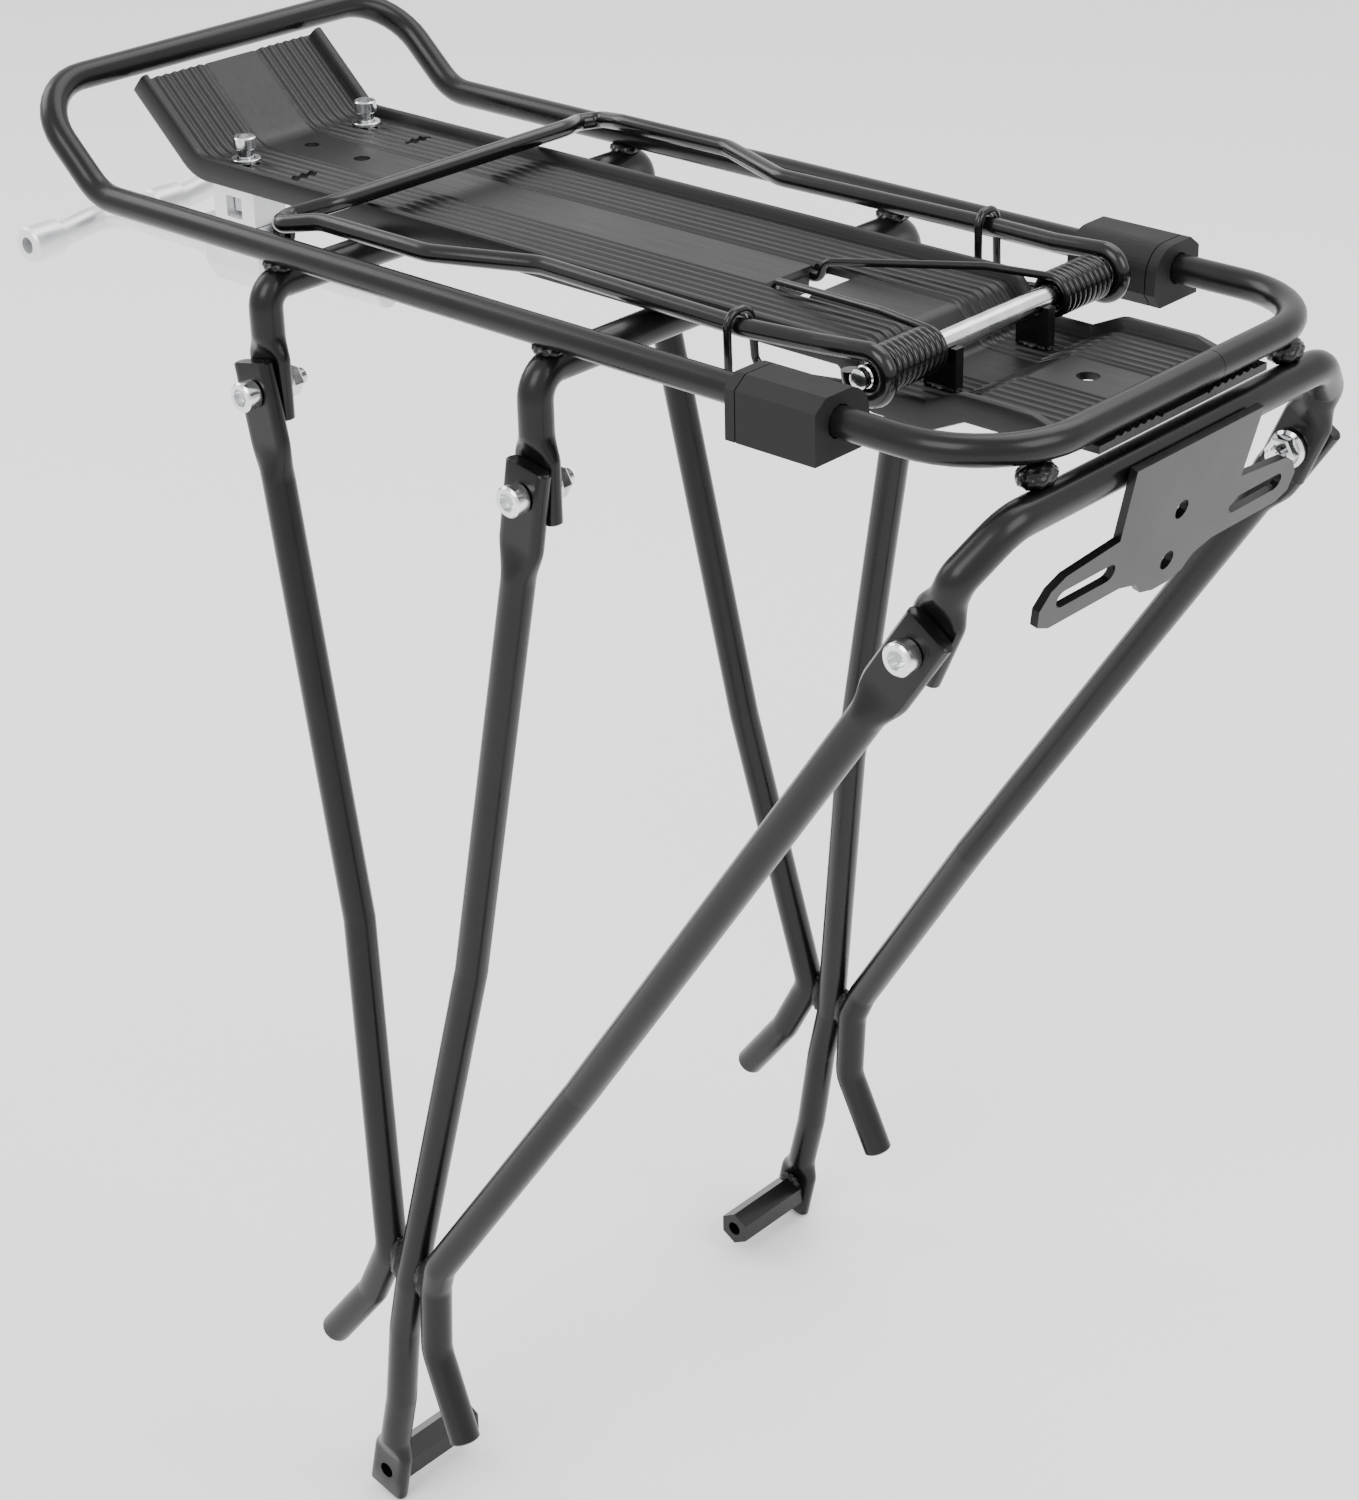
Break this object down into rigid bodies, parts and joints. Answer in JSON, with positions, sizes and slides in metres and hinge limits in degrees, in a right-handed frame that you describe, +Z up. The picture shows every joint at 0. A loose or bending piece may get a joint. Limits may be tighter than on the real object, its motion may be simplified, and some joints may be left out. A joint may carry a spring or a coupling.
{
  "type": "bicycle rear rack",
  "caption": "Bicycle rear rack: bent-tube rail loop over a ribbed plate, bolted legs, sprung parcel clip, reflector bracket and adjustable seat-stay rods.",
  "frame": {"origin": "midway between the two foot holes that bolt to the bicycle frame", "axes": "+X forward to the saddle, +Y to the bicycle's left, +Z up"},
  "size_m": [0.3914, 0.2072, 0.4226],
  "materials": {
    "black_paint": "gloss",
    "black_deck": "satin",
    "spring_wire": "gloss",
    "zinc": "polished",
    "bare_aluminium": "satin",
    "rubber": "matte"
  },
  "bodies": {
    "root": {"axle_pin": "zinc", "axle_saddle_left": "black_paint", "axle_saddle_right": "black_paint", "axle_tube": "zinc", "cross_tube_front": "black_paint", "cross_tube_middle": "black_paint", "cross_tube_rear": "black_paint", "deck_screw_left": "zinc", "deck_screw_right": "zinc", "deck_washer_left": "zinc", "deck_washer_right": "zinc", "foot_boss_left": "black_paint", "foot_boss_right": "black_paint", "leg_bolt_front_left": "zinc", "leg_bolt_front_right": "zinc", "leg_bolt_middle_left": "zinc", "leg_bolt_middle_right": "zinc", "leg_bolt_rear_left": "zinc", "leg_bolt_rear_right": "zinc", "leg_front_left": "black_paint", "leg_front_right": "black_paint", "leg_middle_left": "black_paint", "leg_middle_right": "black_paint", "leg_nut_front_left": "zinc", "leg_nut_front_right": "zinc", "leg_nut_middle_left": "zinc", "leg_nut_middle_right": "zinc", "leg_nut_rear_left": "zinc", "leg_nut_rear_right": "zinc", "leg_rear_left": "black_paint", "leg_rear_right": "black_paint", "platform_plate": "black_deck", "rail_block_cap_left": "rubber", "rail_block_cap_right": "rubber", "rail_block_left": "rubber", "rail_block_right": "rubber", "rail_loop": "black_paint", "reflector_bracket": "black_paint", "torsion_spring_left": "spring_wire", "torsion_spring_right": "spring_wire"},
    "clip": {"clip_frame": "spring_wire"},
    "clamp_left": {"clamp_block_left": "bare_aluminium", "clamp_lower_left": "bare_aluminium", "clamp_screw_left": "black_paint", "square_nut_left": "zinc"},
    "clamp_right": {"clamp_block_right": "bare_aluminium", "clamp_lower_right": "bare_aluminium", "clamp_screw_right": "black_paint", "square_nut_right": "zinc"},
    "stay_left": {"stay_rod_left": "bare_aluminium", "stay_ferrule_left": "bare_aluminium"},
    "stay_right": {"stay_rod_right": "bare_aluminium", "stay_ferrule_right": "bare_aluminium"}
  },
  "joints": [
    {"name": "clip_hinge", "type": "hinge", "parent": "root", "child": "clip", "pos_m": [-0.148, 0, 0.3854], "axis": [0, -1, 0], "range_deg": [0, 95], "stiffness_Nm_per_rad": 0.8, "springref_deg": -89.95, "deforming": ["torsion_spring_left", "torsion_spring_right"]},
    {"name": "clamp_yaw_left", "type": "hinge", "parent": "root", "child": "clamp_left", "pos_m": [0.107, 0.024, 0.3834], "axis": [0, 0, 1], "range_deg": [-3, 12]},
    {"name": "clamp_yaw_right", "type": "hinge", "parent": "root", "child": "clamp_right", "pos_m": [0.107, -0.024, 0.3834], "axis": [0, 0, 1], "range_deg": [-12, 3]},
    {"name": "stay_slide_left", "type": "slide", "parent": "clamp_left", "child": "stay_left", "axis": [1, 0, 0], "range_m": [-0.02, 0.045]},
    {"name": "stay_slide_right", "type": "slide", "parent": "clamp_right", "child": "stay_right", "axis": [1, 0, 0], "range_m": [-0.02, 0.045]}
  ]
}
